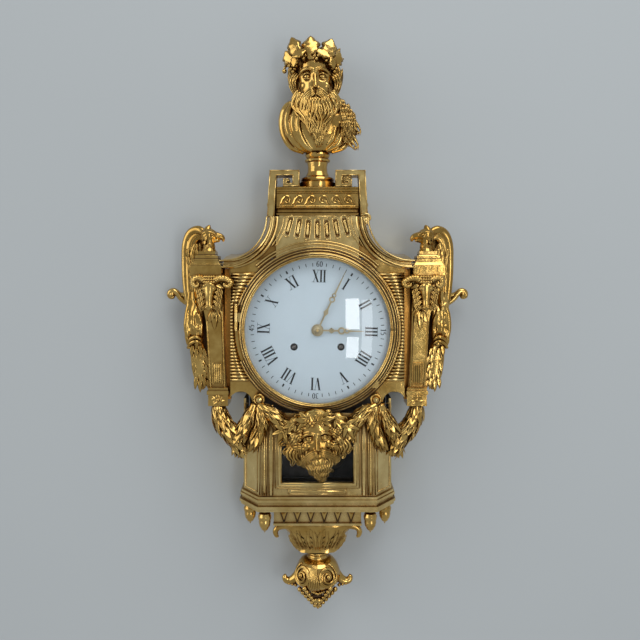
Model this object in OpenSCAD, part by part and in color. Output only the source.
// Cartel wall clock, gilt bronze case with enamel dial and pendulum movement.
// Millimetres, +Z up, the wall is the plane Y = 0 and the front faces -Y.
// The origin is the hanging hole. Pieces are drawn about the dial centre, with
// d as the distance in front of the wall, and then moved down by hang_height.

/* [Hanging] */
// height of the hanging hole above the dial centre
hang_height = 150; // [120:1:175]
// radius of the hanging hole
hang_hole_r = 4; // [2.5:0.1:6]
// thickness of the back frame
frame_thick = 4; // [3:0.5:6]
// radius of the two lower fixing holes
fixing_hole_r = 2.5; // [1.5:0.1:4]
// distance between the two lower fixing holes
fixing_pitch = 120; // [80:1:150]

/* [Case body] */
// width of the body's front beside the dial surround
side_margin = 5; // [3:0.5:8]
// depth of the space between the movement and the body's front
dial_space = 17; // [15:0.5:19]
// thickness of the cast walls
wall_thick = 3; // [2:0.25:4]
// height of the neck above the dial surround
neck_rise = 43; // [38:0.5:48]
// height of the dial surround that shows below the body
surround_show = 16; // [14:0.5:18]
// radius of the concave shoulder's casting line
shoulder_r = 70.7; // [68:0.1:73]
// width of the shoulder scroll
shoulder_band = 12.2; // [9:0.1:14]
// pitch of the reeds on the spandrel panels
reed_pitch = 4.5; // [3.5:0.1:6]

/* [Plinth and bust] */
// half width of the plinth's front
plinth_half = 56.5; // [54:0.5:57]
// height of the plinth
plinth_height = 39; // [35:0.5:44]
// height of the turned socle
socle_height = 49.9; // [44:0.1:56]
// radius of the socle's base
socle_r = 25; // [22:0.5:28]
// height of the bust
bust_height = 164; // [140:1:190]

/* [Door and dial] */
// radius of the glass opening in the bezel
sight_r = 98.5; // [97:0.1:99.5]
// width of the bezel
bezel_width = 8; // [7:0.1:9]
// width of the fixed surround
surround_width = 7.5; // [6.5:0.1:9]
// how far the glass domes forward
glass_rise = 14; // [13:0.5:18]
// thickness of the glass
glass_thick = 2; // [1.5:0.1:2.5]
// width of the enamel dial behind the bezel
dial_lap = 3; // [2.5:0.1:3.5]
// gap between the minute hand's tip and the bezel
minute_clear = 9.5; // [9:0.5:25]
// length of the hour hand
hour_length = 63; // [50:1:68]

/* [Lower case] */
// half width of the lower case's flat front
box_half = 79.3; // [76:0.1:82]
// width of each canted corner
cant_width = 24.4; // [20:0.1:27]
// depth of each canted corner
cant_depth = 33; // [25:0.5:40]
// step from the body's front to the lower case's front
box_step = 7; // [5:0.5:9]
// height of the lower case below the bob's centre
bob_room = 35.5; // [34:0.5:45]
// half width of the window
window_half = 48.5; // [44:0.5:52]
// height of the lower case's front above the window
window_head = 16; // [14:0.5:20]
// height of the lower case's front below the window
window_foot = 20; // [19:0.5:26]
// radius of an acorn
acorn_r = 8.5; // [6:0.1:9.5]
// height of the acanthus bracket
bracket_height = 45; // [40:0.5:52]

/* [Movement] */
// radius of the movement plates
plate_r = 68; // [67:0.5:72]
// thickness of a movement plate
plate_thick = 3; // [2.5:0.1:3.5]
// distance between the movement plates
plate_gap = 34; // [33:0.5:35]
// sideways distance of each winding hole from the centre
winding_x = 32; // [31:0.1:33]
// drop of each winding hole below the centre
winding_drop = 23; // [22:0.1:24]
// thickness of the train wheels
wheel_thick = 1.5; // [1:0.1:2]
// length of the pendulum from its pivot to the bob's centre
pendulum_length = 248.5; // [240:0.5:250]
// angle of the pendulum in the stored pose
swing_angle = 4.6; // [0:0.1:5]
// radius of the pendulum bob
bob_r = 20.5; // [15:0.5:22]
// radius of the bell
bell_r = 28; // [24:0.5:29]

/* [Hidden] */
$fn = 48;
rest_gap = 0.2;
run_gap = 0.06;
bezel_r = sight_r + bezel_width;
surround_r = bezel_r + surround_width;
body_half = surround_r + side_margin;
neck_top = surround_r + neck_rise;
body_drop = surround_r - surround_show;
dial_r = sight_r + dial_lap;
minute_length = sight_r - minute_clear;
plate_back = 18;
inner_face = plate_back + plate_thick;
outer_face = inner_face + plate_gap;
plate_front = outer_face + plate_thick;
body_front = plate_front + dial_space;
box_front = body_front + box_step;
plinth_top = neck_top + plinth_height;
socle_top = plinth_top + socle_height;
centre_depth = 45;
shoulder_x = body_half + 4;
shoulder_z = neck_top - 2;
flange_front = body_front - 35;
flange_top = shoulder_z - shoulder_r - 0.5;
wall_inner = body_front - wall_thick;
dial_hole_r = dial_r + 1.5;
frieze_front = box_front - 12;
frieze_half = box_half - 19.3;
arm_r = dial_hole_r + 6;
post_r = 5;
hinge_x = -(bezel_r + 3.4);
hinge_d = body_front + 9;
hinge_r = 2.6;
hinge_pin_r = 1.2;
bezel_back = body_front + 0.5;
glass_seat = bezel_back + 6.5;
dial_rim = body_front - 2.5;
dial_rise = 3.5;
dial_thick = 2;
hour_level = dial_rim + dial_rise + 1.2;
minute_level = hour_level + 2.6;
cannon_r = 2.6;
hour_pipe_r = 3.9;
key_bottom = plinth_top + 0.1;
key_inner = socle_r - 0.4;
key_back = body_front - 25;
key_front = body_front + 2;
// body edge, front and flange top that the side ornaments are drawn against
side_edge = 119;
side_front = 75;
side_top = 83.8;
pilaster_x = 152;
pilaster_back = side_front - 35 + rest_gap;
boss_x = box_half - 0.3;
boss_z = 5 - body_drop;

// train: teeth and modules
great_teeth = 78;
great_module = 0.65;
mid_pinion = 12;
mid_teeth = 66;
mid_module = 0.65;
centre_pinion = 11;
centre_teeth = 84;
centre_module = 0.5;
third_pinion = 7;
third_teeth = 70;
third_module = 0.5;
escape_pinion = 7;
escape_teeth = 30;
escape_r = 12.5;
strike_teeth = 60;
strike_module = 0.5;
fly_pinion = 7;
cannon_teeth = 14;
minute_teeth = 42;
motion_module = 0.6;
minute_pinion = 10;
hour_teeth = 40;
motion_distance = (cannon_teeth + minute_teeth) * motion_module / 2;
hour_module = 2 * motion_distance / (minute_pinion + hour_teeth);
arbor_r = 1.2;
pivot_r = 0.6;

function meet(p, rp, q, rq, side) =
    let (v = q - p, g = norm(v), a = (rp * rp - rq * rq + g * g) / (2 * g))
    let (h = sqrt(max(0, rp * rp - a * a)), u = v / g)
    p + a * u + side * h * [-u[1], u[0]];
function aim(p, q) = atan2(q[1] - p[1], q[0] - p[0]);

centre_at = [0, 0];
going_at = [winding_x, -winding_drop];
strike_at = [-winding_x, -winding_drop];
great_distance = (great_teeth + mid_pinion) * great_module / 2;
mid_distance = (mid_teeth + centre_pinion) * mid_module / 2;
mid_at = meet(centre_at, mid_distance, going_at, great_distance, 1);
strike_wheel_at = [-mid_at[0], mid_at[1]];
third_distance = (centre_teeth + third_pinion) * centre_module / 2;
last_distance = (third_teeth + escape_pinion) * third_module / 2;
escape_at = [0, third_distance + last_distance - 0.675];
pivot_height = escape_at[1] + escape_r * 1.414;
pallet_at = [0, pivot_height];
box_drop = pendulum_length - pivot_height + bob_room;
box_floor = -box_drop;
box_top = -body_drop - 14;
window_z0 = box_floor + window_foot;
window_z1 = box_top - window_head;
mask_back = box_front + 5.7;
mask_middle = -146;
moulding_bottom = box_floor - 20.3;
frieze_height = 23;
frieze_bottom = moulding_bottom - frieze_height;
bracket_bottom = frieze_bottom - bracket_height;
third_at = meet(centre_at, third_distance, escape_at, last_distance, 1);
fly_distance = (strike_teeth + fly_pinion) * strike_module / 2;
fly_at = strike_wheel_at + fly_distance * [cos(150), sin(150)];
minute_at = [0, -motion_distance];
hammer_at = (plate_r - 4) * [cos(128.66), sin(128.66)];
pillar_at = [for (a = [23.2, 156.8, -76.6, -103.4]) (plate_r - 7.2) * [cos(a), sin(a)]];
top_level = outer_face - 5.4;
centre_level = outer_face - 9.4;
arm_at = [for (a = [45:90:315]) arm_r * [cos(a), sin(a)]];

// piece to draw, or all of them

// flat shape in x and z, made solid from depth d0 to depth d1
module slab(d0, d1) {
    rotate([90, 0, 0]) translate([0, 0, d0]) linear_extrude(height = d1 - d0) children();
}

// profile in radius and depth, turned about an axis that faces the viewer
module turned(x = 0, z = 0) {
    translate([x, 0, z]) rotate([90, 0, 0]) rotate_extrude($fn = 96) children();
}

module post(at, d0, d1, r) {
    translate([at[0], -d0, at[1]]) rotate([90, 0, 0]) cylinder(r = r, h = d1 - d0);
}

module ball(p, n = 10) {
    translate([p[0], -p[2], p[1]]) sphere(r = p[3], $fn = n);
}

// run of joined balls, each one x, z, depth and radius
module chain(points, n = 10) {
    for (i = [0:len(points) - 2]) {
        hull() {
            ball(points[i], n);
            ball(points[i + 1], n);
        }
    }
}

module both_sides() {
    children();
    mirror([1, 0, 0]) children();
}

module frame2d(x, z0, z1) {
    translate([-x, z0]) square([2 * x, z1 - z0]);
}

// toothed outline with one tooth centred on the given angle
module teeth2d(n, m, angle, tip, root, add, ded) {
    r = n * m / 2;
    s = 360 / n;
    polygon([
        for (i = [0:n - 1])
            for (k = [[-root, r - ded * m], [-tip, r + add * m], [tip, r + add * m], [root, r - ded * m]])
                let (a = angle + (i + k[0]) * s)
                k[1] * [cos(a), sin(a)]
    ]);
}

module wheel2d(n, m, angle, bore) {
    r = n * m / 2;
    difference() {
        teeth2d(n, m, angle, 0.1, 0.2, 0.75, 1.3);
        circle(r = bore);
        if (r > 12) {
            for (a = [0:90:270]) {
                rotate(a + 45) translate([r * 0.53, 0]) circle(r = r * 0.27);
            }
        }
    }
}

module wheel(at, n, m, aim_angle, d0, d1, bore) {
    slab(d0, d1) translate(at) wheel2d(n, m, aim_angle, bore);
}

module pinion(at, n, m, aim_angle, d0, d1, bore) {
    slab(d0, d1) translate(at) difference() {
        teeth2d(n, m, aim_angle + 180 / n, 0.08, 0.17, 0.6, 1.2);
        if (bore > 0) {
            circle(r = bore);
        }
    }
}

// arbor between the plates with a thin pivot in each plate
module arbor(at, r = 1.2) {
    post(at, inner_face + 0.4, outer_face - 0.4, r);
    post(at, plate_back + 0.5, plate_front - 0.5, pivot_r);
}

module frame_outline() {
    frame2d(body_half + 6, -body_drop, flange_top);
    frame2d(50, flange_top - 1, plinth_top - 4);
    frame2d(box_half + cant_width - 4, box_floor + 1, -body_drop + 1);
}

module back_frame() {
    color([0.24, 0.2, 0.17])
    slab(0, frame_thick) difference() {
        frame_outline();
        circle(r = plate_r + 12);
        translate([0, hang_height]) circle(r = hang_hole_r);
        for (s = [-1, 1]) {
            translate([s * fixing_pitch / 2, box_floor + 12]) circle(r = fixing_hole_r);
        }
    }
}

module shoulder_circles(r) {
    for (s = [-1, 1]) {
        translate([s * shoulder_x, shoulder_z]) circle(r = r, $fn = 96);
    }
}

module neck2d(t) {
    difference() {
        frame2d(shoulder_x - 2 - t, flange_top - 8, neck_top - t);
        shoulder_circles(shoulder_r + 0.2 + t);
    }
}

module body2d() {
    difference() {
        frame2d(body_half, -body_drop, shoulder_z - shoulder_r + 12);
        shoulder_circles(shoulder_r + 0.2);
        for (s = [-1, 1]) {
            translate([s * 105, -body_drop - 2]) circle(r = 16);
        }
    }
}

module flange2d() {
    polygon([
        [body_half - 2, -body_drop + 18], [body_half + 19, -body_drop + 18],
        [body_half + 27, flange_top - 63.8], [body_half + 37, flange_top],
        [body_half - 2, flange_top]
    ]);
}

module case_body() {
    back = frame_thick + rest_gap;
    color([0.80, 0.58, 0.25])
    difference() {
        union() {
            slab(back, body_front) body2d();
            slab(back, wall_inner) neck2d(0);
            slab(flange_front - 6, flange_front) {
                flange2d();
                mirror([1, 0]) flange2d();
            }
            turned() polygon([
                [bezel_r + 0.5, wall_inner], [surround_r, wall_inner],
                [surround_r, body_front + 1], [surround_r - 2, body_front + 3],
                [bezel_r + 2, body_front + 3.5], [bezel_r + 0.5, body_front + 6]
            ]);
        }
        slab(-1, wall_inner) difference() {
            frame2d(body_half - wall_thick, -body_drop - 1, flange_top - wall_thick);
            for (p = arm_at) {
                translate(p) circle(r = post_r);
            }
        }
        slab(-1, wall_inner - wall_thick) neck2d(wall_thick);
        slab(plate_front, wall_inner - 2) for (p = arm_at) {
            translate(p) circle(r = 2.1);
        }
        slab(-1, plate_front) for (p = arm_at) {
            translate(p) circle(r = post_r + 1);
        }
        post([0, 0], wall_inner - 2, body_front + 12, dial_hole_r);
        slab(wall_inner - 2, body_front + 12) frame2d(72, -130, -body_drop + 14);
        translate([hinge_x - 4, -body_front - 12, 0]) cube([8, 12, 36]);
        slab(-1, body_front + 1) for (s = [-1, 1]) {
            translate([s * boss_x, boss_z]) circle(r = 2.5);
        }
    }
    color([0.80, 0.58, 0.25])
    for (z = [2, 24.2]) {
        difference() {
            union() {
                translate([hinge_x, -hinge_d, z]) cylinder(r = hinge_r, h = 9.8);
                translate([hinge_x - hinge_r, -hinge_d, z])
                    cube([2 * hinge_r, hinge_d - body_front + 0.5, 9.8]);
            }
            translate([hinge_x, -hinge_d, z - 1]) cylinder(r = hinge_pin_r + 0.03, h = 12);
        }
    }
}

module fluted_frieze() {
    color([0.82, 0.60, 0.27])
    difference() {
        slab(wall_inner + rest_gap, body_front + 2) difference() {
            frame2d(plinth_half, shoulder_z - shoulder_r + 14, neck_top - 0.5);
            shoulder_circles(shoulder_r + 0.2);
            circle(r = surround_r + 0.3, $fn = 96);
        }
        translate([0, 0, neck_top + 153]) for (i = [-3:3]) {
            rotate([0, -i * 4.3, 0]) translate([0, 0, -182]) slab(body_front - 0.5, body_front + 3) {
                frame2d(3, 0, 19);
                circle(r = 3);
                translate([0, 19]) circle(r = 3);
            }
        }
    }
}

module shoulder_scroll() {
    inner = shoulder_r - shoulder_band;
    front = body_front + 4;
    translate([shoulder_x, 0, shoulder_z]) rotate([90, 0, 0]) rotate([0, 0, 180])
        rotate_extrude(angle = 95, $fn = 96) polygon([
            [inner - 9, frame_thick + 1], [inner - 5.5, frame_thick + 1], [inner - 0.5, front - 22],
            [inner + 3.5, front - 6], [shoulder_r - 3, front - 6], [shoulder_r - 3, frame_thick + 1],
            [shoulder_r, frame_thick + 1], [shoulder_r, front - 1],
            [shoulder_r - 1.5, front], [shoulder_r - 3, front - 1], [shoulder_r - 5, front - 2.4],
            [inner + 4, front - 2.2], [inner + 2.5, front - 0.5], [inner + 1, front],
            [inner, front - 1], [inner - 4, front - 22]
        ]);
}

module shoulder_scrolls() {
    color([0.84, 0.62, 0.28]) both_sides() shoulder_scroll();
}

module plinth() {
    back = frame_thick + rest_gap;
    f = body_front - 3;
    wave_pitch = (plinth_half - 10.5) / 2.5;
    color([0.80, 0.58, 0.25])
    difference() {
        union() {
            slab(back, body_front - 5) frame2d(plinth_half, neck_top, neck_top + 9.5);
            slab(back, body_front - 2.5) frame2d(plinth_half, neck_top + 9.5, plinth_top - 6.5);
            slab(back, body_front + 1) frame2d(plinth_half, plinth_top - 6.5, plinth_top);
            slab(back, key_back - 2) frame2d(plinth_half + 9, neck_top, plinth_top - 3);
            for (i = [-2.5:1:2.5]) {
                turned(i * wave_pitch, neck_top + 21) polygon([
                    [4.2, f], [7.6, f], [7.6, f + 2], [5.9, f + 3], [4.2, f + 2]
                ]);
                post([i * wave_pitch, neck_top + 21], f, f + 2.6, 2.4);
            }
            for (s = [-1, 1]) {
                translate([s * (plinth_half + 8), -26, neck_top + 19]) rotate([0, s * 90, 0])
                    rotate_extrude() polygon([
                        [0, 0], [16, 0], [16, 4], [13, 6.5], [9, 5], [6, 8], [4, 10], [0, 10]
                    ]);
            }
        }
        slab(-1, body_front - 9) frame2d(plinth_half - wall_thick, neck_top - 1, plinth_top - 5);
        translate([0, -centre_depth, plinth_top - 8]) cylinder(r = 3.3, h = 12);
    }
}

module greek_key() {
    color([0.84, 0.62, 0.28])
    slab(key_back, key_front) {
        z0 = key_bottom;
        z1 = plinth_top + 22.8;
        polygon([
            [plinth_half + 2.5, shoulder_z + 0.4], [plinth_half + 12.5, shoulder_z + 0.4],
            [plinth_half + 9, z1], [plinth_half - 0.9, z1]
        ]);
        translate([key_inner, z1 - 7.5]) square([plinth_half - key_inner + 5, 7.5]);
        translate([key_inner, z0]) square([9.5, z1 - z0]);
        translate([key_inner, z0]) square([plinth_half - key_inner - 9.4, 4.8]);
        translate([plinth_half - 14.5, z0]) square([5.1, 11]);
        translate([plinth_half - 18.3, z0 + 7.2]) square([8.9, 3.8]);
    }
}

module greek_key_left() {
    mirror([1, 0, 0]) greek_key();
}

module greek_key_right() {
    greek_key();
}

module socle() {
    z = plinth_top;
    h = socle_height;
    r = socle_r;
    color([0.78, 0.55, 0.23])
    translate([0, -centre_depth, z]) rotate_extrude() polygon([
        [3.3, 0.1], [r, 0.1], [r, h * 0.17], [r * 0.9, h * 0.2], [r * 0.94, h * 0.25],
        [r * 0.9, h * 0.3], [r * 0.66, h * 0.36], [r * 0.56, h * 0.48], [r * 0.54, h * 0.62],
        [r * 0.58, h * 0.74], [r * 0.7, h * 0.77], [r * 0.72, h * 0.82], [r * 0.6, h * 0.85],
        [r * 0.66, h * 0.9], [r * 0.7, h * 0.95], [r * 0.66, h - 0.1], [3.3, h - 0.1]
    ]);
}

module leaf(base, tip, r0, r1, n = 8) {
    hull() {
        ball([base[0], base[1], base[2], r0], n);
        ball([tip[0], tip[1], tip[2], r1], n);
    }
}

module bust() {
    k = bust_height / 164;
    color([0.74, 0.52, 0.22])
    translate([0, 0, socle_top]) scale(k) translate([0, -centre_depth / k, 0]) difference() {
        union() {
            hull() {
                cylinder(r = 15, h = 2, $fn = 20);
                ball([-26, 26, 0, 9]);
                ball([30, 22, 0, 9]);
                ball([0, 34, 4, 18]);
            }
            hull() {
                ball([-29, 34, 0, 14], 12);
                ball([31, 32, 0, 14], 12);
                ball([-28, 52, -2, 12], 12);
                ball([30, 50, -2, 13], 12);
                ball([0, 68, 0, 17], 12);
            }
            chain([[-34, 50, 0, 12], [-36, 22, 4, 8]]);
            chain([[38, 46, 0, 14], [42, 20, 4, 10], [40, 8, 6, 5]]);
            chain([[0, 64, 0, 16], [0, 92, 0, 15]], 12);
            hull() {
                ball([0, 112, 2, 20], 16);
                ball([0, 124, -2, 22], 16);
                ball([0, 98, 8, 13], 16);
            }
            chain([[0, 112, 20, 3], [0, 101, 24, 4]]);
            chain([[0, 88, 14, 15], [0, 62, 18, 19], [-2, 34, 17, 16], [0, 10, 9, 9]], 12);
            chain([[-14, 104, 6, 10], [-20, 82, 4, 11], [-16, 54, 10, 11]]);
            chain([[14, 104, 6, 10], [20, 82, 4, 11], [18, 54, 10, 11]]);
            for (s = [-1, 1]) {
                leaf([s * 20, 112, -2], [s * 33, 124, -6], 5, 1.6);
            }
            for (a = [0:40:320]) {
                leaf([19 * cos(a), 132, 19 * sin(a)], [26 * cos(a + 8), 148, 24 * sin(a + 8)], 8, 4);
            }
            hull() {
                ball([0, 138, -2, 20], 12);
                ball([-4, 152, -2, 12], 12);
            }
        }
        translate([0, 0, -60]) cube([200, 200, 120], center = true);
        translate([0, 0, -1]) cylinder(r = 3.3 / k, h = 19 / k, $fn = 24);
    }
}

module tie_rods() {
    color([0.42, 0.4, 0.38]) {
        translate([0, -centre_depth, plinth_top - 11]) cylinder(r = 3, h = socle_height + 26);
        translate([0, -centre_depth, plinth_top - 11]) cylinder(r = 6, h = 5.9, $fn = 6);
        translate([0, -centre_depth, bracket_bottom - 24]) cylinder(r = 3, h = bracket_height + 34);
        translate([0, -centre_depth, frieze_bottom + 3.2]) cylinder(r = 6, h = 5, $fn = 6);
    }
}

module reeded_panel2d() {
    difference() {
        translate([60, 28 - body_drop]) square([body_half - 60, flange_top + body_drop - 33.8]);
        circle(r = surround_r + 0.4, $fn = 96);
    }
}

module reeded_panel() {
    slab(body_front + 0.1, body_front + 2) reeded_panel2d();
    slab(body_front + 1.9, body_front + 3.6) intersection() {
        reeded_panel2d();
        for (z = [29 - body_drop:reed_pitch:flange_top - 7.8]) {
            translate([55, z]) square([body_half, reed_pitch * 0.6]);
        }
    }
}

module reeded_panels() {
    color([0.86, 0.66, 0.32]) difference() {
        both_sides() reeded_panel();
        slab(body_front, body_front + 12) translate([hinge_x - 4, -0.5]) square([8, 37]);
    }
}

// keeps a side ornament on the body's edge, front and flange
module side_place() {
    translate([body_half - side_edge, side_front - body_front, flange_top - side_top]) children();
}

module pilaster() {
    b = pilaster_back;
    x = pilaster_x;
    color([0.82, 0.60, 0.27])
    side_place() difference() {
        union() {
            slab(b, 72) polygon([
                [131.5, 76], [166, 76], [153, 12], [148, -79], [125, -79], [129, 12]
            ]);
            slab(71.5, 73.6) polygon([[134, 26], [151, 12], [144.5, -74], [129, -74], [132, 12]]);
            slab(b, 80) translate([x - 21, 75]) square([42, 13.5]);
            slab(b + 3, 77) translate([x - 18, 88]) square([36, 6.5]);
            slab(b + 5, 75) translate([x - 15.5, 94]) square([31, 7.5]);
            slab(b + 8, 71) translate([x - 11.5, 101]) square([23, 6.5]);
            slab(b, 75) translate([122.5, -104]) square([27, 25.5]);
            slab(b, 77) translate([121.5, -88]) square([29.5, 5]);
        }
        slab(b - 1, 68) polygon([
            [135, 84], [168, 84], [149.5, 12], [144.5, -99], [127, -99], [132.5, 12]
        ]);
    }
}

module pilaster_left() {
    mirror([1, 0, 0]) pilaster();
}

module pilaster_right() {
    pilaster();
}

module wing_step(p, q) {
    hull() {
        post([p[0], p[1]], p[2] - p[4], p[2] + p[4], p[3], $fn = 12);
        post([q[0], q[1]], q[2] - q[4], q[2] + q[4], q[3], $fn = 12);
    }
}

module eagle() {
    path = [
        [158, 135, 52, 6, 5], [168, 138, 48, 5, 8], [179, 131, 44, 5.5, 10], [186, 112, 42, 5.5, 12],
        [186, 82, 40, 6, 13], [184.5, 50, 39, 6, 12], [180, 16, 39, 5, 9], [175, -14, 40, 3, 5]
    ];
    color([0.78, 0.56, 0.24])
    side_place() {
        hull() {
            translate([pilaster_x + 2, -58, 107.7]) cylinder(r = 9, h = 2, $fn = 16);
            ball([154, 122, 57, 8.5]);
        }
        chain([[154, 122, 57, 8.5], [148.5, 134, 58, 10.5], [138, 132, 60, 6], [131.5, 126.5, 60, 2.2]]);
        chain([[148, 141, 58, 4], [153, 144, 55, 2.5]], 8);
        for (i = [0:len(path) - 2]) {
            wing_step(path[i], path[i + 1]);
        }
    }
}

module eagle_left() {
    mirror([1, 0, 0]) eagle();
}

module eagle_right() {
    eagle();
}

module ram_head() {
    intersection() {
        union() {
            chain([[148, 62, 78, 11], [146, 48, 82, 8.5], [145, 36, 82, 5.5]]);
            for (s = [-1, 1]) {
                chain([
                    [148 + s * 6, 68, 80, 4.5], [148 + s * 17, 66, 79, 4.5], [148 + s * 21, 55, 78, 4],
                    [148 + s * 15, 47, 78, 3.2]
                ], 8);
            }
        }
        translate([100, -110, 20]) cube([80, 110 - 72.2, 55]);
    }
}

module ram_heads() {
    color([0.80, 0.58, 0.26]) both_sides() side_place() ram_head();
}

module side_scrolls() {
    color([0.78, 0.56, 0.24]) both_sides() side_place() chain([
        [186, 34, 23, 4.2], [192, 46, 23, 4.4], [203, 53, 21, 4.5], [212, 54, 20, 3.5], [214.5, 47, 20, 2.5],
        [210, 44, 20, 1.8]
    ]);
}

module laurel_drop() {
    for (i = [0:8]) {
        z = 32 - 12.2 * i;
        x = 165 - 0.5 * i;
        leaf([x, z, 60], [x + 11, z - 12, 58], 4.5, 1.2, 6);
        leaf([x, z - 3, 61], [x - 8.5, z - 15, 60], 4.2, 1.2, 6);
        leaf([x + 1, z - 2, 63], [x + 1, z - 15, 70], 4.5, 1.4, 6);
    }
    chain([[163.7, 46, 62, 3.5], [165, 30, 62, 5]], 8);
}

module laurel_drops() {
    color([0.80, 0.58, 0.26]) both_sides() side_place() laurel_drop();
}

// moves a swag's point with the pilaster at its outer end and the boss at its inner end
function hung(p) =
    let (t = (p[0] - 79) / 57)
    [
        boss_x + t * (body_half + 17 - boss_x), p[1] + t * (flange_top - side_top) + (1 - t) * (boss_z + 93),
        p[2] + body_front - side_front, p[3]
    ];

module hung_leaf(base, tip, r0, r1) {
    chain([hung(concat(base, [r0])), hung(concat(tip, [r1]))], 8);
}

module swag() {
    path = [
        [136, -112, 64, 7.5], [128, -124, 70, 9], [117, -139, 76, 11], [104, -148, 82, 11.5],
        [95, -136, 86, 10], [88, -118, 87, 7.5], [82, -103, 85, 5.5]
    ];
    drop = [[82, -104, 85, 5], [77, -124, 91, 5.5], [70, -150, 91, 4], [68, -164, 90, 1.5]];
    inner = [[81, -104, 86, 5], [68, -114, 92, 6], [53, -121, 94, 4]];
    color([0.80, 0.58, 0.26]) {
        chain([for (p = path) hung(p)]);
        hung_leaf([104, -152, 82], [101, -168, 80], 7, 1.5);
        hung_leaf([110, -148, 80], [114, -162, 78], 7, 1.5);
        hung_leaf([96, -140, 86], [92, -158, 87], 6, 1.5);
        chain([for (p = drop) hung(p)], 8);
        chain([for (p = inner) hung(p)], 8);
    }
}

module swag_left() {
    mirror([1, 0, 0]) swag();
}

module swag_right() {
    swag();
}

module garland_bosses() {
    b = body_front - 9;
    color([0.86, 0.66, 0.32])
    for (s = [-1, 1]) {
        turned(s * boss_x, boss_z) polygon([
            [0, b], [2.45, b], [2.45, b + 18], [5, b + 18.4], [5, b + 20], [3.6, b + 22.6], [0, b + 23.8]
        ]);
    }
}

module mask() {
    color([0.76, 0.54, 0.23])
    translate([0, 87.7 - mask_back, box_top - 34 - mask_middle]) intersection() {
        union() {
            hull() {
                ball([0, -133, 92, 21], 14);
                ball([0, -158, 94, 16], 14);
                ball([0, -176, 92, 9], 14);
            }
            chain([[0, -140, 111, 3], [0, -156, 114, 4.5]], 8);
            chain([[0, -172, 97, 10], [0, -186, 96, 7], [1, -195, 93, 2.5]]);
            for (s = [-1, 1]) {
                chain([
                    [s * 6, -117, 97, 9], [s * 22, -120, 96, 9], [s * 36, -128, 94, 9], [s * 40, -146, 93, 8]
                ]);
                chain([[s * 28, -134, 95, 9], [s * 33, -152, 94, 8], [s * 30, -172, 92, 3]]);
                chain([[s * 16, -166, 98, 7], [s * 18, -180, 95, 5], [s * 14, -190, 93, 2]]);
                chain([[s * 38, -124, 94, 7], [s * 45, -134, 92, 4]]);
            }
        }
        slab(87.7, 130) frame2d(60, -205, -107.5);
    }
}

// canted outline in plan, moved outward by o
module canted2d(o, back) {
    x0 = box_half + 0.4 * o;
    x1 = box_half + cant_width + o;
    y0 = box_front + o;
    y1 = box_front - cant_depth + 0.4 * o;
    polygon([[-x1, -back], [-x1, -y1], [-x0, -y0], [x0, -y0], [x1, -y1], [x1, -back]]);
}

module lower_case() {
    back = frame_thick + rest_gap;
    stile = box_top - box_floor - 5;
    color([0.80, 0.58, 0.25])
    difference() {
        union() {
            translate([0, 0, box_floor])
                linear_extrude(height = box_drop - body_drop - 0.4) canted2d(0, back);
            for (s = [-1, 1]) {
                slab(box_front - 1, box_front + 2.2) {
                    translate([s * (window_half + 14.5) - 2.2, box_floor + 2]) square([4.4, stile]);
                    translate([s * (box_half - 7.3) - 3, box_floor + 2]) square([6, stile]);
                }
            }
        }
        translate([0, 0, box_floor + wall_thick])
            linear_extrude(height = box_drop) canted2d(-wall_thick, -1);
        translate([-150, -box_front - 5, box_top]) cube([300, cant_depth + 6, 40]);
        slab(box_front - 8, box_front + 8)
            frame2d(window_half, window_z0, window_z1);
        translate([0, -centre_depth, box_floor - 1]) cylinder(r = 3.4, h = 10);
    }
}

module window_frame() {
    z0 = window_z0;
    z1 = window_z1;
    color([0.84, 0.62, 0.28])
    difference() {
        union() {
            slab(box_front + 0.1, box_front + 3) frame2d(window_half + 8.5, z0 - 8.5, z1 + 8.5);
            slab(box_front + 2.9, box_front + 5.5) frame2d(window_half + 4, z0 - 4, z1 + 4);
            slab(box_front + 0.1, box_front + 2) frame2d(window_half - 9, z0 - 17, z0 - 8);
        }
        slab(box_front - 1, box_front + 8) frame2d(window_half, z0, z1);
    }
}

module window_glass() {
    color([0.75, 0.82, 0.84, 0.35])
    slab(box_front - wall_thick - 2.2, box_front - wall_thick - 0.2)
        frame2d(window_half + 5, window_z0 - 5, window_z1 + 5);
}

module base_moulding() {
    color([0.84, 0.62, 0.28])
    difference() {
        translate([0, 0, moulding_bottom]) {
            linear_extrude(height = 4.2) canted2d(3.5, 8);
            translate([0, 0, 4]) linear_extrude(height = 3.6) canted2d(5.5, 8);
            translate([0, 0, 7.4]) linear_extrude(height = 6) canted2d(2, 8);
            translate([0, 0, 13.2]) linear_extrude(height = 3.2) canted2d(4.5, 8);
            translate([0, 0, 16.2]) linear_extrude(height = 4) canted2d(3, 8);
        }
        translate([0, 0, moulding_bottom + wall_thick]) linear_extrude(height = 30) canted2d(-8, -1);
        translate([0, -centre_depth, moulding_bottom - 1]) cylinder(r = 3.4, h = 10);
    }
}

module acorn_finials() {
    z = moulding_bottom - 0.2;
    r = acorn_r;
    color([0.82, 0.60, 0.27])
    for (p = [[box_half - 7.3, box_front - 5], [box_half + cant_width - 8.7, box_front - cant_depth - 5]]) {
        both_sides() translate([p[0], -p[1], z]) rotate_extrude() polygon([
            [0, 0], [r * 0.5, 0], [r * 0.5, -2], [r * 0.9, -4], [r * 1.08, -8], [r * 1.02, -12],
            [r * 0.9, -12.5], [r * 0.96, -16], [r * 0.84, -21], [r * 0.5, -26], [r * 0.16, -28.5], [0, -31]
        ]);
    }
}

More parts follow.
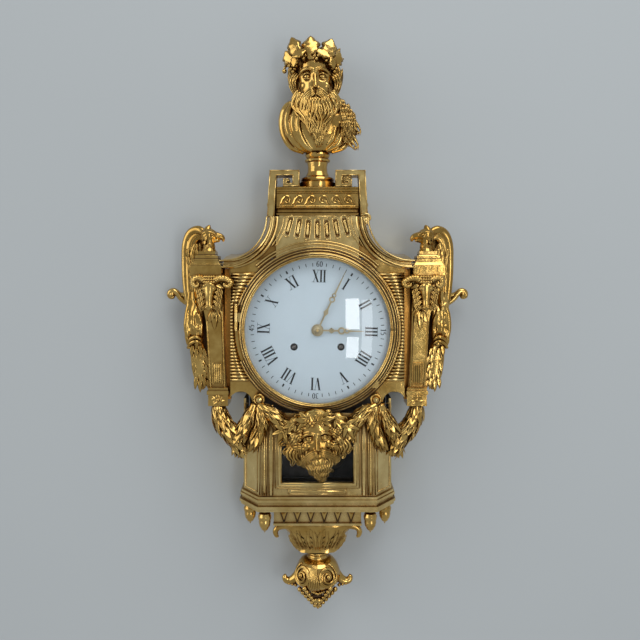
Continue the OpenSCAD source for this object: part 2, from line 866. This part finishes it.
module spear_frieze() {
    z0 = frieze_bottom + 0.1;
    h = frieze_height - 0.3;
    spear_pitch = (frieze_half - 14) / 2.5;
    color([0.80, 0.58, 0.25])
    difference() {
        union() {
            slab(8, frieze_front) frame2d(frieze_half, z0, z0 + h);
            slab(8, frieze_front + 3.5) frame2d(frieze_half + 0.5, z0, z0 + 3);
            for (i = [-2.5:1:2.5]) {
                slab(frieze_front - 0.5, frieze_front + 3) translate([i * spear_pitch, z0 + 3])
                    polygon([[-0.45 * spear_pitch, h - 4], [0.45 * spear_pitch, h - 4], [0, 0.5]]);
            }
        }
        slab(12, frieze_front - wall_thick)
            frame2d(frieze_half - wall_thick, z0 + wall_thick, z0 + h + 1);
        translate([0, -centre_depth, z0 - 1]) cylinder(r = 3.3, h = 10);
    }
}

module bracket_slice(t, w, front, back) {
    translate([0, 0, frieze_bottom - t * bracket_height]) linear_extrude(height = 0.2)
        polygon([
            [-w, -back], [-w, 8 - front], [8 - w, -front], [w - 8, -front], [w, 8 - front], [w, -back]
        ]);
}

module bracket_loft(inset, back) {
    table = [
        [0.005, 49, 66], [0.15, 50, 67], [0.4, 41, 63], [0.62, 33, 58], [0.86, 28, 56], [0.98, 30, 58]
    ];
    for (i = [0:len(table) - 2]) {
        hull() {
            bracket_slice(table[i][0], table[i][1] - inset, table[i][2] - inset, back);
            bracket_slice(table[i + 1][0], table[i + 1][1] - inset, table[i + 1][2] - inset, back);
        }
    }
}

module acanthus_bracket() {
    color([0.80, 0.58, 0.25])
    difference() {
        union() {
            bracket_loft(0, 10);
            both_sides() {
                chain([
                    [44, frieze_bottom - 6, 56, 5], [53, frieze_bottom - 9, 58, 4.5],
                    [57, frieze_bottom - 6, 59, 2.5]
                ], 8);
                chain([[14, frieze_bottom - 4.5, 66, 4], [18, frieze_bottom - 30, 60, 3]], 8);
            }
            chain([[0, frieze_bottom - 5, 68, 4.5], [0, bracket_bottom + 6, 58, 4]], 8);
        }
        translate([0, -centre_depth, bracket_bottom - 5])
            cylinder(r = 3.4, h = bracket_height + 10, $fn = 24);
        translate([-60, -100, frieze_bottom - 0.1]) cube([120, 100, 30]);
        intersection() {
            bracket_loft(4, -5);
            translate([-60, -100, bracket_bottom + 5]) cube([120, 120, bracket_height - 9]);
        }
    }
}

module pendant() {
    z = bracket_bottom - 0.3;
    color([0.80, 0.58, 0.25])
    difference() {
        union() {
            translate([0, -centre_depth, z]) rotate_extrude() polygon([
                [0, 0], [14, 0], [15, -2.5], [14, -5], [12, -6], [12.5, -8], [20, -12], [28, -21],
                [31, -32], [29, -40], [22, -46], [0, -46]
            ]);
            both_sides() {
                chain([
                    [22, z - 26, 52, 9], [34, z - 34, 52, 8], [44, z - 37, 52, 5], [48, z - 33, 52, 2.5]
                ]);
                chain([[18, z - 20, 64, 9], [20, z - 30, 70, 10]]);
            }
        }
        translate([0, -centre_depth, z - 25]) cylinder(r = 3.3, h = 30, $fn = 24);
    }
}

module berry_cluster() {
    z = bracket_bottom - 46.6;
    color([0.84, 0.62, 0.28])
    intersection() {
        union() {
            for (row = [[8, 16, -4.6, 5], [7, 12, -11, 5], [5, 8, -18, 5], [3, 4, -25, 4.6]]) {
                for (i = [0:row[0] - 1]) {
                    a = i * 360 / row[0] + row[2] * 9;
                    ball([row[1] * cos(a), z + row[2], centre_depth + row[1] * sin(a), row[3]], 8);
                }
            }
            ball([0, z - 31, centre_depth, 4.4], 8);
            translate([0, -centre_depth, z - 28]) cylinder(r1 = 3, r2 = 15, h = 27.5, $fn = 12);
        }
        translate([-30, -centre_depth - 30, z - 40]) cube([60, 60, 40]);
    }
}

module case_screws() {
    color([0.3, 0.29, 0.3]) {
        for (p = arm_at) {
            post(p, outer_face - 3.2, outer_face - 0.1, 4);
            post(p, outer_face - 0.2, wall_inner - 3, 2);
        }
        for (s = [-1, 1]) {
            post([s * 62, 98], body_front + 0.1, body_front + 1.6, 1.7);
        }
    }
}

module bezel_ring() {
    b = bezel_back;
    s = glass_seat;
    w = bezel_r - sight_r;
    color([0.85, 0.64, 0.3])
    difference() {
        union() {
            turned() polygon([
                [sight_r + 2.8, b], [bezel_r, b], [bezel_r, b + 7], [bezel_r - 0.12 * w, b + 8.5],
                [bezel_r - 0.22 * w, b + 10.2], [bezel_r - 0.36 * w, b + 10.8],
                [bezel_r - 0.46 * w, b + 9.6], [bezel_r - 0.58 * w, b + 12.4],
                [bezel_r - 0.72 * w, b + 13], [bezel_r - 0.84 * w, b + 11.8],
                [sight_r + 0.06 * w, b + 11.6], [sight_r, b + 10.6], [sight_r, s + 0.2],
                [sight_r + 2.8, s + 0.2]
            ]);
            translate([hinge_x, -hinge_d, 12]) cylinder(r = hinge_r, h = 12);
            translate([hinge_x, -hinge_d - 1.6, 12]) cube([7, 3.2, 12]);
        }
        translate([hinge_x, -hinge_d, 11]) cylinder(r = hinge_pin_r + run_gap, h = 14);
    }
}

function dome(r, edge_r, edge, rise) = edge + rise * (1 - (r / edge_r) * (r / edge_r));

module bezel_glass() {
    e = glass_seat;
    q = sight_r - 0.4;
    steps = [0:0.125:1];
    color([0.8, 0.87, 0.9, 0.25])
    turned() polygon(concat(
        [for (t = steps) [q * t, dome(q * t, q, e, glass_rise)]],
        [[sight_r + 2.5, e], [sight_r + 2.5, e - glass_thick]],
        [for (t = steps) [q * (1 - t), dome(q * (1 - t), q, e - glass_thick, glass_rise)]]
    ));
}

module hinge_pin() {
    color([0.72, 0.55, 0.3]) translate([hinge_x, -hinge_d, 0]) {
        cylinder(r = hinge_pin_r, h = 36);
        cylinder(r = 2.2, h = 1.8);
        translate([0, 0, 34.2]) cylinder(r = 2.2, h = 1.8);
    }
}

module bezel_catch() {
    color([0.85, 0.64, 0.3])
    slab(body_front + 6.3, body_front + 8.5) rotate(-43) difference() {
        union() {
            translate([bezel_r - 2, -6]) square([4, 12]);
            translate([bezel_r + 2, 0]) circle(r = 4);
        }
        circle(r = bezel_r + 0.05, $fn = 96);
    }
}

module dial() {
    steps = [0:0.125:1];
    a = dial_r / 101.5;
    color([0.95, 0.95, 0.92])
    difference() {
        union() {
            turned() polygon(concat(
                [for (t = steps) [dial_r * t, dome(dial_r * t, dial_r, dial_rim, dial_rise)]],
                [for (t = steps)
                    let (r = dial_r * (1 - t))
                    [r, dome(r, dial_r, dial_rim - dial_thick, dial_rise)]]
            ));
            for (p = arm_at) {
                post(p * 0.8, plate_front + rest_gap, dial_rim, 1.6);
            }
        }
        post([0, 0], 60, 90, hour_pipe_r + 1);
        for (p = [going_at, strike_at]) {
            post(p, 60, 90, 5);
        }
    }
}

// pierced hand pointing up
module hand2d(length, hub, bow) {
    difference() {
        union() {
            circle(r = hub);
            translate([-1.1, 0]) square([2.2, length * 0.5]);
            translate([0, length * 0.52]) circle(r = bow);
            translate([0, length * 0.52 + bow * 1.5]) circle(r = bow * 0.72);
            polygon([[-1.6, length * 0.5], [1.6, length * 0.5], [0.35, length], [-0.35, length]]);
            polygon([
                [-bow * 0.8, length * 0.3], [0, length * 0.22], [bow * 0.8, length * 0.3], [0, length * 0.4]
            ]);
        }
        translate([0, length * 0.52]) circle(r = bow * 0.55);
        translate([0, length * 0.52 + bow * 1.5]) circle(r = bow * 0.36);
    }
}

module hour_hand() {
    level = hour_level;
    wheel_d = plate_front + 6;
    difference() {
        union() {
            color([0.8, 0.6, 0.28]) slab(level, level + 1.2) rotate(-91.5) hand2d(hour_length, 8.2, 5);
            color([0.8, 0.62, 0.3]) post([0, 0], wheel_d - 0.5, level + 0.1, hour_pipe_r);
            color([0.8, 0.62, 0.3])
                wheel([0, 0], hour_teeth, hour_module, aim([0, 0], minute_at), wheel_d, wheel_d + 1.4, 3);
        }
        post([0, 0], 50, 95, cannon_r + run_gap);
    }
}

module minute_hand() {
    level = minute_level;
    d = plate_front + 2;
    difference() {
        union() {
            color([0.8, 0.6, 0.28]) slab(level, level + 1.2) rotate(-25.5)
                hand2d(minute_length, 6.2, 4.2);
            color([0.8, 0.62, 0.3]) post([0, 0], plate_front + 0.6, level + 0.1, cannon_r);
            color([0.8, 0.62, 0.3])
                pinion([0, 0], cannon_teeth, motion_module, aim([0, 0], minute_at), d, d + 2.4, 0);
        }
        post([0, 0], 50, 95, 1.52);
    }
}

module hand_collet() {
    color([0.82, 0.64, 0.32])
    turned() polygon([
        [1.6, minute_level + 1.3], [4, minute_level + 1.3], [4, minute_level + 2], [2.6, minute_level + 3],
        [1.6, minute_level + 3]
    ]);
}

module plate_holes(d0, d1) {
    for (p = [mid_at, third_at, escape_at, strike_wheel_at, fly_at, hammer_at]) {
        post(p, d0, d1, pivot_r + run_gap);
    }
    for (p = [going_at, strike_at]) {
        post(p, d0, d1, 3 + run_gap);
    }
    post([0, 0], d0, d1, 1.5 + run_gap);
    post(pallet_at, d0, d1, 1 + run_gap);
}

module front_plate() {
    color([0.78, 0.64, 0.34])
    difference() {
        union() {
            slab(outer_face, plate_front) {
                circle(r = plate_r, $fn = 96);
                for (a = [45:90:315]) {
                    rotate(a) translate([0, -7]) square([arm_r, 14]);
                    rotate(a) translate([arm_r, 0]) circle(r = 7);
                }
            }
            post(minute_at, plate_front - 1, plate_front + 9, 1.4);
        }
        for (p = arm_at) {
            post(p, outer_face - 1, plate_front + 1, 2.2);
        }
        for (p = pillar_at) {
            post(p, outer_face - 1, plate_front + 1, 2.1);
        }
        plate_holes(outer_face - 1, plate_front + 1);
    }
}

module back_plate() {
    color([0.78, 0.64, 0.34])
    difference() {
        union() {
            slab(plate_back, inner_face) circle(r = plate_r, $fn = 96);
            slab(6, plate_back + 0.1) translate([-5, pivot_height + 5.4]) square([10, 4.4]);
            slab(6, 8) translate([-5, pivot_height - 4]) square([10, 12]);
            post(pallet_at, 7, 12.4, 1.5);
        }
        for (p = pillar_at) {
            post(p, plate_back - 1, inner_face + 1, 2.1);
        }
        difference() {
            plate_holes(plate_back - 1, inner_face + 1);
            post([0, 0], plate_back - 2, plate_back + 0.8, 3);
        }
    }
}

module plate_pillars() {
    color([0.8, 0.66, 0.36])
    for (p = pillar_at) {
        turned(p[0], p[1]) polygon([
            [0, plate_back - 1.5], [2, plate_back - 1.5], [2, inner_face + 0.1], [3.6, inner_face + 0.1],
            [3.6, inner_face + 4], [2.6, inner_face + 7], [2.6, outer_face - 7], [3.6, outer_face - 4],
            [3.6, outer_face - 0.1], [2, outer_face - 0.1], [2, plate_front + 1.5], [0, plate_front + 1.5]
        ]);
    }
}

module barrel(at, mate) {
    d = inner_face + 2;
    color([0.8, 0.64, 0.32])
    difference() {
        union() {
            slab(d, d + 2.5) translate(at)
                teeth2d(great_teeth, great_module, aim(at, mate), 0.1, 0.2, 0.75, 1.3);
            post(at, d + 2.4, d + 20.5, great_teeth * great_module / 2 - 2);
        }
        post(at, d + 3, d + 18.5, great_teeth * great_module / 2 - 3.5);
        post(at, d - 1, d + 30, 3 + run_gap);
    }
}

module going_barrel() {
    barrel(going_at, mid_at);
}

module strike_barrel() {
    barrel(strike_at, strike_wheel_at);
}

// winding arbor with its hook, front square and ratchet
module winding_arbor(at) {
    color([0.5, 0.5, 0.52]) {
        post(at, plate_back + 0.3, plate_front + 5, 3);
        post(at, inner_face + 6, inner_face + 19, 7);
        slab(plate_front + 4, dial_rim + 2) translate(at) square([4.6, 4.6], center = true);
        slab(plate_front + 0.6, plate_front + 2.6) translate(at) teeth2d(24, 0.75, 0, 0.05, 0.35, 0.5, 1);
    }
}

module going_arbor() {
    winding_arbor(going_at);
}

module strike_arbor() {
    winding_arbor(strike_at);
}

module middle_wheel() {
    d = inner_face;
    color([0.82, 0.66, 0.34]) {
        arbor(mid_at);
        pinion(mid_at, mid_pinion, great_module, aim(mid_at, going_at), d + 1.5, d + 5, 0);
        wheel(
            mid_at, mid_teeth, mid_module, aim(mid_at, centre_at), top_level, top_level + wheel_thick, 0.8
        );
    }
}

module centre_wheel() {
    color([0.82, 0.66, 0.34]) {
        post([0, 0], plate_back + 1, minute_level + 4.4, 1.5);
        pinion(
            centre_at, centre_pinion, mid_module, aim(centre_at, mid_at), top_level - 0.4, top_level + 2.2, 0
        );
        wheel(
            centre_at, centre_teeth, centre_module, aim(centre_at, third_at),
            centre_level, centre_level + wheel_thick, 1
        );
    }
}

module third_wheel() {
    d = inner_face;
    color([0.82, 0.66, 0.34]) {
        arbor(third_at, 0.9);
        pinion(
            third_at, third_pinion, centre_module, aim(third_at, centre_at),
            centre_level - 0.6, centre_level + 2.4, 0
        );
        wheel(
            third_at, third_teeth, third_module, aim(third_at, escape_at), d + 13, d + 13 + wheel_thick, 0.7
        );
    }
}

module escape_wheel() {
    d = inner_face;
    color([0.82, 0.66, 0.34]) {
        arbor(escape_at, 0.8);
        pinion(escape_at, escape_pinion, third_module, aim(escape_at, third_at), d + 12.4, d + 15.4, 0);
        slab(d + 8, d + 8 + wheel_thick) translate(escape_at) difference() {
            polygon([
                for (i = [0:escape_teeth - 1])
                    for (k = [[0, escape_r - 2.6], [0.3, escape_r], [0.42, escape_r], [0.5, escape_r - 2.6]])
                        let (a = (i + k[0]) * 360 / escape_teeth)
                        k[1] * [cos(a), sin(a)]
            ]);
            circle(r = 0.6);
            for (a = [0:90:270]) {
                rotate(a) translate([5.4, 0]) circle(r = 2.6);
            }
        }
    }
}

module pallet2d(reach) {
    polygon([
        [0, 2.4], [reach * 0.82, -3], [reach * 1.12, -reach * 0.62], [reach * 1.04, -reach * 0.68],
        [reach * 0.66, -4], [0, -2.2]
    ]);
}

// pallets, arbor and crutch, leaning with the pendulum
module anchor() {
    d = inner_face;
    reach = escape_r * 1.06;
    color([0.45, 0.46, 0.5])
    translate([0, 0, pivot_height]) rotate([0, -swing_angle, 0]) {
        post([0, 0], 12.9, plate_front - 0.5, 1);
        slab(d + 7.8, d + 9.8) {
            circle(r = 2.6);
            pallet2d(reach);
            mirror([1, 0]) pallet2d(reach);
        }
        slab(13, 14.6) {
            circle(r = 3);
            frame2d(1.6, -62, 0);
        }
        slab(8.4, 14.6) difference() {
            frame2d(3.4, -64, -60);
            frame2d(1.35, -66, -50);
        }
        slab(13, 14.6) frame2d(3.4, -64, -60);
    }
}

module minute_wheel() {
    d = plate_front + 2;
    color([0.82, 0.66, 0.34])
    difference() {
        union() {
            wheel(minute_at, minute_teeth, motion_module, aim(minute_at, [0, 0]), d + 0.4, d + 1.8, 1);
            pinion(minute_at, minute_pinion, hour_module, aim(minute_at, [0, 0]), d + 1.7, d + 6.2, 0);
        }
        post(minute_at, d - 1, d + 12, 1.4 + run_gap);
    }
}

module strike_wheel() {
    d = inner_face;
    color([0.82, 0.66, 0.34]) {
        arbor(strike_wheel_at);
        pinion(
            strike_wheel_at, mid_pinion, great_module, aim(strike_wheel_at, strike_at), d + 1.5, d + 5, 0
        );
        wheel(
            strike_wheel_at, strike_teeth, strike_module, aim(strike_wheel_at, fly_at),
            top_level, top_level + wheel_thick, 0.8
        );
        for (a = [0:45:315]) {
            post(strike_wheel_at + 12.6 * [cos(a), sin(a)], top_level - 1.8, top_level + 0.4, 0.7);
        }
    }
}

module strike_fly() {
    d = inner_face;
    color([0.82, 0.66, 0.34]) {
        arbor(fly_at, 0.9);
        pinion(
            fly_at, fly_pinion, strike_module, aim(fly_at, strike_wheel_at),
            top_level - 0.6, top_level + 2.4, 0
        );
        slab(d + 6, d + 21) translate(fly_at) rotate(20) square([22, 1.2], center = true);
    }
}

// hammer at rest just off the bell
module hammer() {
    d = inner_face;
    color([0.5, 0.5, 0.52]) {
        arbor(hammer_at);
        slab(d + 13, d + 15.5) translate(hammer_at) {
            circle(r = 3);
            rotate(-12) frame2d(1.2, 0, 27);
        }
        post([hammer_at[0] + 5.6, hammer_at[1] + 26.5], d + 10, d + 18.5, 3.2);
    }
}

module bell() {
    z = plate_r + 6.5;
    r = bell_r;
    color([0.78, 0.66, 0.4])
    translate([0, -centre_depth + 7, z]) rotate_extrude($fn = 64) polygon([
        [2.1, 14.6], [r * 0.5, 13.6], [r * 0.8, 8.6], [r * 0.9, 3], [r, 0], [r - 1.6, 0], [r * 0.84, 3],
        [r * 0.74, 7.4], [r * 0.46, 11.8], [2.1, 12.8]
    ]);
}

module bell_stand() {
    z = plate_r + 6.5;
    y = -centre_depth + 7;
    color([0.5, 0.5, 0.52])
    difference() {
        union() {
            slab(plate_back + 0.2, plate_front) frame2d(6, plate_r - 3, plate_r + 3);
            translate([0, y, plate_r]) cylinder(r = 2, h = 24.5);
            translate([0, y, plate_r + 2]) cylinder(r = 4, h = 17);
            translate([0, y, z + 14.8]) cylinder(r = 4.5, h = 3, $fn = 6);
        }
        slab(plate_back - 1, inner_face + 0.2) circle(r = plate_r + 0.1, $fn = 96);
        slab(outer_face - 0.2, plate_front + 1) circle(r = plate_r + 0.1, $fn = 96);
        post([0, 0], 10, 70, plate_r - 2);
    }
}

module pendulum_rod() {
    color([0.62, 0.55, 0.4])
    translate([0, 0, pivot_height]) rotate([0, -swing_angle, 0]) {
        difference() {
            union() {
                slab(9, 11.4) circle(r = 4);
                slab(9.2, 11.2) frame2d(1, -pendulum_length - bob_r - 5, -2);
            }
            post([0, 0], 5, 15, 1.5 + run_gap);
        }
        translate([0, -10.2, -pendulum_length - bob_r - 4]) cylinder(r = 2.6, h = 3);
    }
}

module pendulum_bob() {
    color([0.75, 0.72, 0.66])
    translate([0, 0, pivot_height]) rotate([0, -swing_angle, 0]) difference() {
        turned(0, -pendulum_length) polygon([
            [0, 5.4], [bob_r * 0.5, 5.9], [bob_r * 0.8, 7.2], [bob_r, 9], [bob_r, 11.4], [bob_r * 0.8, 13.2],
            [bob_r * 0.5, 14.5], [0, 15]
        ]);
        slab(9.1, 11.3) frame2d(1.1, -pendulum_length - 40, -100);
    }
}

module place() {
    translate([0, 0, -hang_height]) children();
}

place() back_frame();
place() case_body();
place() fluted_frieze();
place() shoulder_scrolls();
place() plinth();
place() greek_key_left();
place() greek_key_right();
place() socle();
place() bust();
place() tie_rods();
place() reeded_panels();
place() pilaster_left();
place() pilaster_right();
place() eagle_left();
place() eagle_right();
place() ram_heads();
place() side_scrolls();
place() laurel_drops();
place() swag_left();
place() swag_right();
place() garland_bosses();
place() mask();
place() lower_case();
place() window_frame();
place() window_glass();
place() base_moulding();
place() acorn_finials();
place() spear_frieze();
place() acanthus_bracket();
place() pendant();
place() berry_cluster();
place() case_screws();
place() bezel_ring();
place() bezel_glass();
place() hinge_pin();
place() bezel_catch();
place() dial();
place() hour_hand();
place() minute_hand();
place() hand_collet();
place() front_plate();
place() back_plate();
place() plate_pillars();
place() going_barrel();
place() going_arbor();
place() strike_barrel();
place() strike_arbor();
place() middle_wheel();
place() centre_wheel();
place() third_wheel();
place() escape_wheel();
place() anchor();
place() minute_wheel();
place() strike_wheel();
place() strike_fly();
place() hammer();
place() bell();
place() bell_stand();
place() pendulum_rod();
place() pendulum_bob();
